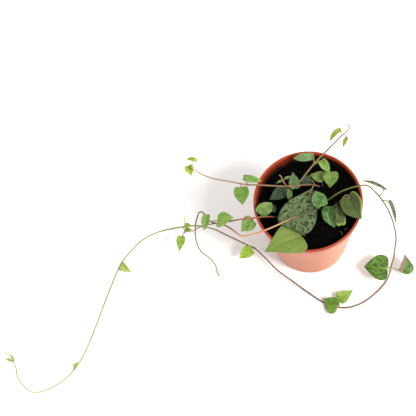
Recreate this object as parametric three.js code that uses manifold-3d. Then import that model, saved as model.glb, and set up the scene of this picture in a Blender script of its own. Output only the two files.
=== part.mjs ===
// A string of hearts in a thin-walled nursery pot: pot, potting soil, wiry trailing stems and
// heart-shaped leaves, each leaf one piece with its own stalk.
// Millimetres, +Z up. The origin is the middle of the pot's foot, on the surface it stands on.
// +X runs to the right of the pot and +Y to its back.
import * as THREE from 'three';
import { mergeVertices } from 'three/addons/utils/BufferGeometryUtils.js';
import Module from 'manifold-3d';

const POT_HEIGHT = 97;
const RIM_RADIUS = 52.5;
const FOOT_RADIUS = 36.5;
const WALL = 1.3;
const LIP_WIDTH = 2.2;
const LIP_HEIGHT = 2.8;
const FOOT_CHAMFER = 1.5;
const LIP_EDGE = 0.9;
const FLOOR_THICKNESS = 1.9;
const DRAIN_HOLES = 6;
const DRAIN_RADIUS = 4;
const DRAIN_CIRCLE = 26;
const DRILL_LENGTH = 8;
const DRILL_SIDES = 12;
const ROUND_STEPS = 48;

const GAP = 0.4;
const SOIL_MIDDLE = 85.6;
const SOIL_EDGE = 84;
const SOIL_TILT = 0.035;
const SOIL_CROWN = 0.6;
const SOIL_CROWN_FALL = 0.5;
const SOIL_SHRINKAGE = 0.5;
const SOIL_STEPS = 32;

const STEM_RADIUS = 0.75;
const SHOOT_RADIUS = 0.55;
const STALK_RADIUS = 0.45;
const STALK_CLEARANCE = 1.5;
const STALK_STEPS = 3;
const STALK_SIDES = 5;
const STALK_BOW = 0.6;
const STALK_RISE = 0.2;
const STEM_SIDES = 8;
const BLADE_THICKNESS = 0.7;
const OUTLINE_STEPS = 6;
const BLADE_RINGS = [0.55, 1];
const SMALL_LEAF = 11;
const SMALL_BLADE_RINGS = [1];
const VEIN_CENTRE = 0.12;

const wasm = await Module();
wasm.setup();

// The stems' routes, from the soil to the tip.
const STEMS = [
  {
    name: 'stem_upper_left', radius: STEM_RADIUS, steps: 34,
    route: [
      [14.5, 17, 87.2], [8.5, 17.5, 92], [0, 17.5, 96], [-8.5, 17, 98.5], [-17.5, 17.5, 100],
      [-28.5, 19.5, 101], [-45.5, 23, 102.5], [-54.5, 24.5, 103.5], [-75, 31, 107], [-86, 34.5, 109],
      [-95, 39.5, 110.5], [-101, 44, 112], [-104, 47, 113.5], [-102.5, 52, 116], [-99, 53.5, 118],
      [-96, 56.5, 120], [-93.5, 60.5, 123], [-89.5, 62, 125],
    ],
  },
  {
    name: 'stem_upper_right', radius: STEM_RADIUS, steps: 22,
    route: [
      [-6.5, 18.5, 101.5], [-4, 19.5, 103], [5, 26, 108], [11.5, 30.5, 112], [22, 35.5, 120.5],
      [33, 39.5, 131.5], [40, 41.5, 140], [44, 42.5, 144], [48, 43.5, 148], [49, 44.5, 151], [47, 46, 153],
    ],
  },
  {
    name: 'stem_long', radius: STEM_RADIUS, steps: 80,
    route: [
      [18.5, 1, 87.3], [24.5, 2, 92.5], [31.5, 3.5, 96.5], [42, 4.5, 100], [51.5, 4.5, 101.5],
      [56, 4.5, 101], [60, 3.5, 98.5], [63.5, 1.5, 93], [68.5, -1.5, 84], [75, -5.5, 65],
      [78.5, -8.5, 52], [81, -13, 39.5], [82.5, -20, 27], [82, -25, 20], [80, -30.5, 14],
      [77.5, -38, 9], [74.5, -43.5, 6], [70, -53, 2.5], [65.5, -59, 1], [59, -65, 1],
      [51, -70.5, 1], [41.5, -75.5, 1], [33.5, -78, 1], [24, -79, 1], [16, -77.5, 1], [8, -73.5, 1],
      [0, -68.5, 1.5], [-11, -58, 3], [-24.5, -44, 5], [-38.5, -29.5, 7.5], [-48.5, -15, 10],
      [-56.5, -4.5, 11], [-65, 2, 11], [-79.5, 14, 9], [-94, 26, 6], [-109.5, 33.5, 3],
      [-126, 36, 1], [-148, 35, 1], [-165, 29.5, 1], [-178, 20, 1], [-190, 8.5, 1], [-210, -26, 1],
      [-225.5, -55.5, 1], [-234, -71, 1], [-244, -86, 1], [-252.5, -95.5, 1], [-263.5, -104, 1],
      [-280.5, -110.5, 1], [-290, -111.5, 1], [-296.5, -110, 1], [-303.5, -102, 1], [-308, -91.5, 1],
      [-308.5, -83, 1], [-310.5, -76, 2.5], [-312.5, -69, 4.5], [-316.5, -66.5, 6],
    ],
  },
  {
    name: 'stem_left', radius: STEM_RADIUS, steps: 34,
    route: [
      [-30, -8, 87.5], [-38.5, -9.5, 97], [-44.5, -10, 100.5], [-51.5, -10, 101.5], [-58, -8, 98],
      [-65.5, -5, 92], [-81.5, 3, 72.5], [-97.5, 13, 50], [-105.5, 16.5, 40], [-111.5, 18, 31.5],
      [-116.5, 18.5, 26], [-119.5, 21, 24], [-121, 25.5, 26], [-121, 29.5, 28.5], [-120, 35, 32],
    ],
  },
  {
    name: 'stem_lower_left', radius: STEM_RADIUS, steps: 56,
    route: [
      [10.5, -7, 87.2], [9, -9.5, 96], [6.5, -12.2, 102.6], [0.8, -15, 106], [-6.5, -17, 107],
      [-17.5, -19, 107.5],
      [-30, -22.5, 107], [-40.5, -25, 106], [-47.5, -25.5, 103.5], [-53, -25, 99.5], [-61, -23, 93],
      [-66.5, -21, 88], [-69.5, -19, 85.5], [-72.5, -14.5, 83], [-80.5, -3, 76], [-88, 3.5, 70.5],
      [-94.5, 8.5, 66], [-98, 14, 63], [-100, 19.5, 60.5], [-102, 24, 58], [-105, 25, 55],
      [-107.5, 22.5, 51], [-110, 18.5, 46], [-111.5, 14.5, 40], [-112.5, 10.5, 34], [-112.5, 6.5, 28],
      [-111.5, 2.5, 22], [-109, -1, 16], [-104, -4.5, 11], [-100, -8.5, 7], [-97.5, -13.5, 4],
      [-97, -18, 2], [-95.5, -23.5, 1],
    ],
  },
  {
    name: 'pot_shoot', radius: SHOOT_RADIUS, steps: 6,
    route: [[-17.6, 16.6, 102.2], [-20, 21, 103], [-21.5, 25.5, 106.5], [-23, 27, 108]],
  },
  {
    name: 'dry_stub', radius: STEM_RADIUS, steps: 4,
    route: [[17.5, 16.5, 87], [17, 18.5, 90], [17.5, 20.5, 93]],
  },
];

// The forms a leaf's outline takes. lobes sets how far the lobes reach back past the notch, belly how
// far along the leaf is widest, and fullness how rounded the sides are from there to the tip.
const FORMS = {
  broad: { lobes: 0.15, belly: 0.3, fullness: 1.3 },
  soft: { lobes: 0.4, belly: 0.24, fullness: 1.15 },
  low: { lobes: 0.1, belly: 0.42, fullness: 1.4 },
  oval: { lobes: 0.25, belly: 0.36, fullness: 1.45 },
  shield: { lobes: 0.2, belly: 0.2, fullness: 0.55 },
  slender: { lobes: 0.1, belly: 0.35, fullness: 1 },
  drop: { lobes: 0.2, belly: 0.24, fullness: 1.1, flipped: true },
};

// Each leaf: the node its stalk grows from, the notch of the heart and the tip. width is across the
// flat blade. roll turns the blade about its midrib, fold closes it along the midrib and arch bends
// it from notch to tip, all in degrees. shade is one of LEAF_SHADES.
const LEAVES = [
  {
    name: 'leaf_a_upper', node: [-54.5, 25, 104.5], base: [-57, 31, 107],
    tip: [-40, 25.5, 104], width: 8.8, roll: 26, fold: 35, arch: 20, form: 'oval', shade: 'green',
  },
  {
    name: 'leaf_a_lower', node: [-60.5, 25.5, 103.5], base: [-61, 24, 101.5],
    tip: [-62.5, 7.5, 96], width: 15, roll: 0, fold: 12, arch: 25, form: 'broad', shade: 'green',
  },
  {
    name: 'leaf_a_tip_lower', node: [-105, 46, 111.5], base: [-107, 52, 109.5],
    tip: [-106, 42, 106.5], width: 9.5, roll: 10, fold: 20, arch: 20, form: 'soft', shade: 'lime',
  },
  {
    name: 'leaf_a_tip_upper', node: [-101.5, 53, 114.5], base: [-98.5, 55, 110.5],
    tip: [-108.5, 59, 110], width: 7, roll: 30, fold: 20, arch: 20, form: 'oval', shade: 'lime',
  },
  {
    name: 'leaf_b_left', node: [11.5, 31.5, 113], base: [12.5, 38, 113.5],
    tip: [-6.5, 44, 103], width: 10.5, roll: -30, fold: 40, arch: 25, form: 'oval', shade: 'green',
  },
  {
    name: 'leaf_b_right', node: [13, 30.5, 111], base: [19, 34, 109.5],
    tip: [25, 22.5, 104], width: 10.5, roll: 10, fold: 35, arch: 25, form: 'oval', shade: 'lime',
  },
  {
    name: 'leaf_b_tip_left', node: [40, 43, 141], base: [41, 47.5, 142],
    tip: [29, 41, 133], width: 7, roll: 25, fold: 15, arch: 60, form: 'oval', shade: 'lime',
  },
  {
    name: 'leaf_b_tip_right', node: [43, 40.5, 142.5], base: [45.5, 38.5, 141],
    tip: [40, 32, 135], width: 5, roll: 25, fold: 20, arch: 30, form: 'oval', shade: 'lime',
  },
  {
    name: 'leaf_c_rim_upper', node: [69.5, -2, 84.5], base: [76, 2, 86],
    tip: [53.5, 13, 94], width: 6.8, roll: 45, fold: 30, arch: 25, form: 'oval', shade: 'silver',
  },
  {
    name: 'leaf_c_rim_lower', node: [73, -3.5, 75], base: [77.5, -6, 77],
    tip: [81, -24, 62], width: 6.8, roll: -40, fold: 30, arch: 20, form: 'oval', shade: 'silver',
  },
  {
    name: 'leaf_c_big_heart', node: [73, -47.5, 6], base: [68.5, -50, 12],
    tip: [46.5, -44, 14], width: 27.5, roll: 0, fold: 8, arch: 15, form: 'broad', shade: 'green',
  },
  {
    name: 'leaf_c_folded', node: [75.5, -49, 7.5], base: [80, -53.5, 9],
    tip: [89, -37.5, 12], width: 24.5, roll: 58, fold: 58, arch: 10, form: 'broad', shade: 'green',
  },
  {
    name: 'leaf_c_front_upper', node: [15.5, -75, 1.5], base: [16.5, -71, 5],
    tip: [32, -64, 7], width: 13.5, roll: 0, fold: 15, arch: 10, form: 'shield', shade: 'lime',
  },
  {
    name: 'leaf_c_front_lower', node: [16, -75.5, 1.5], base: [14, -76, 3],
    tip: [1, -66.5, 4], width: 21, roll: -35, fold: 35, arch: 10, form: 'soft', shade: 'green',
  },
  {
    name: 'leaf_c_lime', node: [-56.5, -3, 12], base: [-59.5, -6, 14],
    tip: [-73.5, -12.5, 12], width: 13, roll: 0, fold: 15, arch: 15, form: 'broad', shade: 'lime',
  },
  {
    name: 'leaf_e_oval', node: [-98.5, 15.5, 63], base: [-97.5, 17, 66],
    tip: [-103, 3.5, 60], width: 9.2, roll: 10, fold: 20, arch: 10, form: 'oval', shade: 'green',
  },
  {
    name: 'leaf_c_floor_small', node: [-189, 8.5, 1.5], base: [-190, 5.5, 3.5],
    tip: [-181.5, -5, 4], width: 11, roll: 35, fold: 35, arch: 10, form: 'shield', shade: 'lime',
  },
  {
    name: 'leaf_c_floor_bud', node: [-251.5, -95, 2], base: [-251, -93.5, 2.5],
    tip: [-247, -87.5, 4], width: 3.4, roll: 0, fold: 20, arch: 10, form: 'slender', shade: 'lime',
  },
  {
    name: 'leaf_c_tip_narrow', node: [-310, -75.5, 3], base: [-309.5, -75, 5],
    tip: [-312, -69.5, 7], width: 2.6, roll: 0, fold: 20, arch: 10, form: 'slender', shade: 'lime',
  },
  {
    name: 'leaf_c_tip_bud', node: [-311.5, -76, 3], base: [-312.5, -75.5, 4],
    tip: [-316.5, -73.5, 5.5], width: 3, roll: 0, fold: 20, arch: 10, form: 'oval', shade: 'lime',
  },
  {
    name: 'leaf_d_bright', node: [-94, 8, 67.5], base: [-88.5, 4.5, 75],
    tip: [-73, 0, 87], width: 16, roll: 0, fold: 10, arch: 10, form: 'broad', shade: 'lime',
  },
  {
    name: 'leaf_d_behind', node: [-54.5, -9, 98], base: [-55, -7.5, 91],
    tip: [-68, -14.5, 85], width: 15.5, roll: 0, fold: 12, arch: 10, form: 'broad', shade: 'green',
  },
  {
    name: 'leaf_d_curl_right', node: [-123.5, 23.5, 26], base: [-121.5, 25, 28.5],
    tip: [-114.5, 23, 30], width: 5.5, roll: 0, fold: 15, arch: 50, form: 'oval', shade: 'lime',
  },
  {
    name: 'leaf_d_curl_left', node: [-123.5, 20, 24], base: [-122.5, 21, 26.5],
    tip: [-114.5, 19.5, 27.5], width: 4.4, roll: 0, fold: 15, arch: 40, form: 'oval', shade: 'lime',
  },
  {
    name: 'leaf_d_hanging', node: [-120, 21, 23], base: [-126.5, 17.5, 21],
    tip: [-131, 3, 18], width: 9, roll: 0, fold: 12, arch: 15, form: 'soft', shade: 'lime',
  },
  {
    name: 'leaf_big_silver', node: [9, 17.5, 92.5], base: [7, 13.5, 96],
    tip: [-20, -27.5, 101.5], width: 36, roll: 0, fold: 3, arch: 10, form: 'drop', shade: 'silver',
  },
  {
    name: 'leaf_big_plain', node: [-8.5, -30.5, 86], base: [-13, -33.5, 96],
    tip: [-50, -44, 96], width: 35, roll: 0, fold: 6, arch: 30, form: 'shield', shade: 'olive',
  },
  {
    name: 'leaf_right_olive', node: [28.5, -4.5, 86], base: [38, -2.5, 97.5],
    tip: [46, -29.5, 100.5], width: 23, roll: 22, fold: 22, arch: 15, form: 'low', shade: 'olive',
  },
  {
    name: 'leaf_heart_front', node: [27.5, -5.5, 86], base: [22, -9.5, 96],
    tip: [20, -30, 91.5], width: 23, roll: 40, fold: 30, arch: 15, form: 'broad', shade: 'green',
  },
  {
    name: 'leaf_heart_curled', node: [30, -9.5, 86], base: [27.5, -7.5, 90.5],
    tip: [27, -27.5, 89.5], width: 10.5, roll: 0, fold: 10, arch: 12, form: 'drop', shade: 'olive',
  },
  {
    name: 'leaf_heart_middle', node: [14, -5, 86], base: [11.5, -10.5, 103],
    tip: [8, 6.5, 104], width: 15, roll: 0, fold: 8, arch: 10, form: 'oval', shade: 'green',
  },
  {
    name: 'leaf_back_lime', node: [30, 26, 86], base: [27, 25, 99.5],
    tip: [23, 10, 96], width: 15, roll: 0, fold: 10, arch: 15, form: 'broad', shade: 'lime',
  },
  {
    name: 'leaf_back_olive', node: [21.5, 23, 86], base: [19, 22, 94],
    tip: [6.5, 29.5, 91], width: 12, roll: 0, fold: 12, arch: 15, form: 'soft', shade: 'olive',
  },
  {
    name: 'leaf_grey_upper', node: [-8.5, 19.5, 86], base: [-10, 17.5, 92],
    tip: [-9, 34.5, 93], width: 11, roll: 0, fold: 12, arch: 10, form: 'soft', shade: 'silver',
  },
  {
    name: 'leaf_dark_right', node: [9, 18, 93.5], base: [7, 24, 92],
    tip: [-6.5, 22, 89], width: 10.5, roll: 0, fold: 10, arch: 10, form: 'oval', shade: 'silver',
  },
  {
    name: 'leaf_dark_left', node: [-15.5, 18, 86], base: [-17.5, 17.5, 92],
    tip: [-36, 11, 90], width: 13, roll: 0, fold: 10, arch: 15, form: 'oval', shade: 'silver',
  },
  {
    name: 'leaf_folded_small', node: [-17, 15.5, 99.5], base: [-16, 14, 98],
    tip: [-18, 5, 92], width: 7.6, roll: -15, fold: 45, arch: 10, form: 'oval', shade: 'green',
  },
  {
    name: 'leaf_shoot_left', node: [-19.5, 21.5, 104], base: [-21.5, 22, 105],
    tip: [-27.5, 21, 103], width: 2.6, roll: 0, fold: 20, arch: 10, form: 'slender', shade: 'lime',
  },
  {
    name: 'leaf_shoot_right', node: [-19.5, 22.5, 105], base: [-18, 23, 106],
    tip: [-11.5, 25, 104.5], width: 3.2, roll: 0, fold: 20, arch: 10, form: 'slender', shade: 'lime',
  },
  {
    name: 'leaf_rim_lime', node: [-43.5, 9, 85], base: [-48, -7, 102],
    tip: [-34, 4.5, 97], width: 14.5, roll: 0, fold: 10, arch: 15, form: 'oval', shade: 'lime',
  },
  {
    name: 'leaf_behind_small', node: [-32.5, -2.5, 87], base: [-36.5, -3, 94],
    tip: [-32, 4, 92], width: 8, roll: 0, fold: 15, arch: 10, form: 'oval', shade: 'green',
  },
];

const LEAF_SHADES = { green: 0x5f8f3c, silver: 0x6c7a58, lime: 0x93bd3e, olive: 0x73853f };
const POT_COLOUR = 0xc8522d;
const SOIL_COLOUR = 0x17120e;
const STEM_COLOUR = 0x8a5f43;

const material = (color, roughness) => new THREE.MeshStandardMaterial({ color, roughness, metalness: 0 });

// Joins and cuts.
function toSolid(geometry) {
  const bare = geometry.clone();
  bare.deleteAttribute('normal');
  bare.deleteAttribute('uv');
  const merged = mergeVertices(bare, 1e-4);
  return new wasm.Manifold(new wasm.Mesh({
    numProp: 3,
    vertProperties: new Float32Array(merged.attributes.position.array),
    triVerts: new Uint32Array(merged.index.array),
  }));
}

function toGeometry(solid) {
  const mesh = solid.getMesh();
  const geometry = new THREE.BufferGeometry();
  geometry.setAttribute('position', new THREE.BufferAttribute(mesh.vertProperties, 3));
  geometry.setIndex(new THREE.BufferAttribute(mesh.triVerts, 1));
  geometry.computeVertexNormals();
  return geometry;
}

// A lathe about Z from [radius, height] pairs that start and end on the axis.
function lathe(profile, steps) {
  const points = profile.map(([radius, height]) => new THREE.Vector2(radius, height));
  return new THREE.LatheGeometry(points, steps).rotateX(Math.PI / 2);
}

function wallRadius(z) {
  const underLip = RIM_RADIUS - LIP_WIDTH + WALL;
  return THREE.MathUtils.lerp(FOOT_RADIUS, underLip, z / POT_HEIGHT);
}

function potGeometry() {
  const lipBottom = POT_HEIGHT - LIP_HEIGHT;
  const shell = lathe([
    [0, 0],
    [FOOT_RADIUS - FOOT_CHAMFER, 0],
    [wallRadius(FOOT_CHAMFER), FOOT_CHAMFER],
    [wallRadius(lipBottom), lipBottom],
    [RIM_RADIUS, lipBottom + 0.4],
    [RIM_RADIUS, POT_HEIGHT - LIP_EDGE],
    [RIM_RADIUS - LIP_EDGE, POT_HEIGHT],
    [RIM_RADIUS - LIP_WIDTH + 0.5, POT_HEIGHT],
    [RIM_RADIUS - LIP_WIDTH, POT_HEIGHT - 0.6],
    [wallRadius(lipBottom) - WALL, lipBottom],
    [wallRadius(FLOOR_THICKNESS) - WALL, FLOOR_THICKNESS],
    [0, FLOOR_THICKNESS],
  ], ROUND_STEPS);
  let pot = toSolid(shell);
  for (let hole = 0; hole < DRAIN_HOLES; hole += 1) {
    const angle = (hole + 0.5) * 2 * Math.PI / DRAIN_HOLES;
    const drill = new THREE.CylinderGeometry(DRAIN_RADIUS, DRAIN_RADIUS, DRILL_LENGTH, DRILL_SIDES)
      .rotateX(Math.PI / 2)
      .translate(DRAIN_CIRCLE * Math.cos(angle), DRAIN_CIRCLE * Math.sin(angle), 0);
    pot = pot.subtract(toSolid(drill));
  }
  return toGeometry(pot);
}

// The soil's top leans down to the back left, and is a little higher in the middle.
function soilGeometry() {
  const bottom = FLOOR_THICKNESS + GAP;
  const edgeRadius = (z) => wallRadius(z) - WALL - GAP - SOIL_SHRINKAGE;
  const soil = lathe([
    [0, bottom],
    [edgeRadius(bottom), bottom],
    [edgeRadius(SOIL_EDGE), SOIL_EDGE],
    [edgeRadius(SOIL_EDGE) * SOIL_CROWN, SOIL_MIDDLE - SOIL_CROWN_FALL],
    [0, SOIL_MIDDLE],
  ], SOIL_STEPS);
  const position = soil.attributes.position;
  for (let i = 0; i < position.count; i += 1) {
    const lean = SOIL_TILT * (position.getX(i) - position.getY(i)) * Math.SQRT1_2;
    if (position.getZ(i) > SOIL_EDGE - 1) {
      position.setZ(i, position.getZ(i) + lean);
    }
  }
  return soil;
}

function tube(curve, radius, sides, steps) {
  const section = new THREE.Shape();
  for (let side = 0; side < sides; side += 1) {
    const angle = side * 2 * Math.PI / sides;
    const corner = [radius * Math.cos(angle), radius * Math.sin(angle)];
    if (side === 0) {
      section.moveTo(...corner);
    } else {
      section.lineTo(...corner);
    }
  }
  return new THREE.ExtrudeGeometry(section, { steps, bevelEnabled: false, extrudePath: curve });
}

function stemGeometry({ route, radius, steps }) {
  const curve = new THREE.CatmullRomCurve3(route.map((point) => new THREE.Vector3(...point)));
  return tube(curve, radius, STEM_SIDES, steps);
}

// Half of a leaf's outline, from the notch round one lobe to the tip. x is in leaf widths and y in
// leaf lengths. A flipped form is narrow where its stalk joins.
function halfOutline({ lobes, belly, fullness, flipped }) {
  const shoulder = 0.333 + 0.167 * Math.min(fullness, 1);
  const flank = 0.16 + 0.2 * Math.max(fullness - 1, 0);
  const edge = new THREE.Path();
  edge.moveTo(0, 0.02);
  edge.bezierCurveTo(0.03, -0.1 * lobes, 0.16, -0.17 * lobes, 0.28, -0.13 * lobes);
  edge.bezierCurveTo(0.43, -0.08 * lobes, 0.5, belly - 0.16, 0.5, belly);
  edge.bezierCurveTo(shoulder, belly + 0.36 * (1 - belly), flank, belly + 0.667 * (1 - belly), 0, 1);
  const points = edge.getSpacedPoints(OUTLINE_STEPS);
  if (flipped) {
    return points.reverse().map((point) => new THREE.Vector2(point.x, 1 - point.y));
  }
  return points;
}

// Returns a function that carries a place on the flat blade, x across and y along in millimetres and
// h above it, to its place in space.
function bladeFrame({ base, tip, roll, fold, arch }) {
  const start = new THREE.Vector3(...base);
  const along = new THREE.Vector3(...tip).sub(start);
  const chord = along.length();
  along.normalize();
  const up = new THREE.Vector3(0, 0, 1).projectOnPlane(along).normalize();
  up.applyAxisAngle(along, THREE.MathUtils.degToRad(roll));
  const across = new THREE.Vector3().crossVectors(along, up);
  const bend = THREE.MathUtils.degToRad(arch);
  const foldAngle = THREE.MathUtils.degToRad(fold);
  const radius = chord / (2 * Math.sin(bend / 2));
  const length = radius * bend;
  const place = (x, y, h) => {
    const turn = (y / length - 0.5) * bend;
    const lift = Math.abs(x) * Math.sin(foldAngle) + h / Math.cos(foldAngle);
    return start.clone()
      .addScaledVector(along, radius * (Math.sin(turn) + Math.sin(bend / 2)) + lift * Math.sin(turn))
      .addScaledVector(up, radius * (Math.cos(turn) - Math.cos(bend / 2)) + lift * Math.cos(turn))
      .addScaledVector(across, x * Math.cos(foldAngle));
  };
  return { length, place };
}

// A thin closed blade: rings of points about the middle of the veins, above and below.
function bladeGeometry(leaf) {
  const { length, place } = bladeFrame(leaf);
  const half = halfOutline(FORMS[leaf.form]);
  const left = half.slice(1, -1).reverse().map((point) => new THREE.Vector2(-point.x, point.y));
  const rim = [...half, ...left].map((point) => new THREE.Vector2(point.x * leaf.width, point.y * length));
  const middle = new THREE.Vector2(0, VEIN_CENTRE * length);
  const rings = leaf.width < SMALL_LEAF ? SMALL_BLADE_RINGS : BLADE_RINGS;
  const count = rim.length;
  const positions = [];
  const faces = [];
  for (const side of [1, -1]) {
    const h = side * BLADE_THICKNESS / 2;
    positions.push(...place(middle.x, middle.y, h));
    for (const ring of rings) {
      for (const point of rim) {
        const spot = middle.clone().lerp(point, ring);
        positions.push(...place(spot.x, spot.y, h));
      }
    }
  }
  const perSide = 1 + count * rings.length;
  const outer = rings.length - 1;
  const above = (ring, spot) => 1 + ring * count + (spot % count);
  const below = (ring, spot) => perSide + above(ring, spot);
  const addQuad = (a, b, c, d) => faces.push(a, b, c, a, c, d);
  for (let spot = 0; spot < count; spot += 1) {
    const next = spot + 1;
    faces.push(0, above(0, spot), above(0, next));
    faces.push(perSide, below(0, next), below(0, spot));
    for (let ring = 0; ring < outer; ring += 1) {
      addQuad(above(ring, spot), above(ring + 1, spot), above(ring + 1, next), above(ring, next));
      addQuad(below(ring, spot), below(ring, next), below(ring + 1, next), below(ring + 1, spot));
    }
    addQuad(above(outer, spot), below(outer, spot), below(outer, next), above(outer, next));
  }
  const geometry = new THREE.BufferGeometry();
  geometry.setAttribute('position', new THREE.Float32BufferAttribute(positions, 3));
  geometry.setIndex(faces);
  return geometry;
}

// The stalk starts just clear of its stem or of the soil and ends inside the blade.
function stalkGeometry(leaf) {
  const { length, place } = bladeFrame(leaf);
  const node = new THREE.Vector3(...leaf.node);
  const end = place(0, VEIN_CENTRE * length, 0);
  const notch = new THREE.Vector3(...leaf.base);
  const start = notch.clone().sub(node).setLength(STALK_CLEARANCE).add(node);
  const bow = start.clone().lerp(notch, STALK_BOW);
  bow.z += STALK_RISE * start.distanceTo(notch);
  const curve = new THREE.CatmullRomCurve3([start, bow, end]);
  return tube(curve, STALK_RADIUS, STALK_SIDES, STALK_STEPS);
}

function leafGeometry(leaf) {
  return toGeometry(toSolid(bladeGeometry(leaf)).add(toSolid(stalkGeometry(leaf))));
}

function piece(name, geometry, look) {
  const mesh = new THREE.Mesh(geometry, look);
  mesh.name = name;
  return mesh;
}

const plant = new THREE.Group();
plant.add(piece('pot', potGeometry(), material(POT_COLOUR, 0.5)));
plant.add(piece('soil', soilGeometry(), material(SOIL_COLOUR, 0.95)));
for (const stem of STEMS) {
  plant.add(piece(stem.name, stemGeometry(stem), material(STEM_COLOUR, 0.6)));
}
for (const leaf of LEAVES) {
  plant.add(piece(leaf.name, leafGeometry(leaf), material(LEAF_SHADES[leaf.shade], 0.5)));
}

export default plant;
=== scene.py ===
"""A string of hearts in a thin-walled nursery pot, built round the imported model.

The scene is in metres. The stems' routes and the leaves' places below are in millimetres from the
middle of the pot's foot, as in the part's source.
"""
import math
import random

import bmesh
import bpy
from mathutils import Matrix, Vector, noise


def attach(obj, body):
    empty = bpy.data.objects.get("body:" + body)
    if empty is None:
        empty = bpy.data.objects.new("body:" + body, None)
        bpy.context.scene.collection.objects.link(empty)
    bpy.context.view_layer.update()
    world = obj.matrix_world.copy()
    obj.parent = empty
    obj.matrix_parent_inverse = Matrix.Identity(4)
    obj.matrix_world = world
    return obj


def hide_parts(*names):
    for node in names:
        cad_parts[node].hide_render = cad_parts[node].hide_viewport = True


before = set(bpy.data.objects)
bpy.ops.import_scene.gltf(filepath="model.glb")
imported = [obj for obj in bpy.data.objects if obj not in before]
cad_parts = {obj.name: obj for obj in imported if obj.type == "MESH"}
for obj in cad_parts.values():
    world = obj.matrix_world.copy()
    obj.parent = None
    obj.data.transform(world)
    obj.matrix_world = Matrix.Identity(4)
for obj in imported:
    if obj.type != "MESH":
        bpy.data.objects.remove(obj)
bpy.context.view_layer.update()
MM = 0.001
SEED = 7

POT_HEIGHT = 97
RIM_RADIUS = 52.5
FOOT_RADIUS = 36.5
WALL = 1.3
LIP_WIDTH = 2.2
LIP_HEIGHT = 2.8
FOOT_CHAMFER = 1.5
DRAIN_HOLES = 6
DRAIN_RADIUS = 4
DRAIN_CIRCLE = 26
SOIL_MIDDLE = 85.6
SOIL_EDGE = 84
SOIL_TILT = 0.035
STALK_RADIUS = 0.45
VEIN_CENTRE = 0.12

BLADE_THICKNESS = 0.45
# The forms a leaf's outline takes: how far the lobes reach back past the notch, how far along the
# leaf is widest, how rounded its sides are, and whether it is narrow where its stalk joins.
FORMS = {
    "broad": (0.15, 0.3, 1.3, False),
    "soft": (0.4, 0.24, 1.15, False),
    "oval": (0.25, 0.36, 1.45, False),
    "shield": (0.2, 0.2, 0.55, False),
    "slender": (0.1, 0.35, 1.0, False),
    "low": (0.1, 0.42, 1.4, False),
    "drop": (0.2, 0.24, 1.1, True),
}
# A stalk that kinks on its way from the soil to its leaf: the points it passes.
CROOKED_STALKS = {
    "leaf_right_olive": [
        Vector((29.3, -4.9, 92)), Vector((31.5, -5.1, 97)), Vector((33.6, -4.1, 100.5)),
        Vector((36, -2.5, 101.2)), Vector((38.2, -2.6, 100)),
    ],
}
SMALL_LEAF = 11
KNOT_LENGTH = 1.6
KNOT_SWELL = 0.4
POT_STEPS = 160
SOIL_STEPS = 200
SOIL_RINGS = 62
BARK_CHANCE = 0.09
CRUMBS = 650
FIBRES = 26
# Pale husks on the soil: x, y, heading, length and curl of each.
HUSKS = [(26, -37, 0.6, 5, 0.5), (30, -33, 2.2, 4, -0.6), (-40, 8, 0.4, 5, 0.7), (-46, 4, 1.2, 3, 0.3),
         (28, -5.5, 1.7, 4, 0.2)]

ROOM_TINT = (1.0, 1.0, 1.0)
ROOM_LIGHT = 0.94
WINDOW_LIGHT = 3.05
WINDOW_SPREAD = 0.34
WINDOW_TINT = (1.0, 0.97, 0.92)
TO_WINDOW = (0.74, -0.66, 1.1)
CAMERA_PLACE = Vector((-0.0956, -0.7507, 1.8588))
CAMERA_DIP = math.radians(66.64)
CAMERA_ROLL = math.radians(-9.70)
LENS_LENGTH = 173.08
SENSOR_WIDTH = 36
FARTHEST_SEEN = 20

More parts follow.
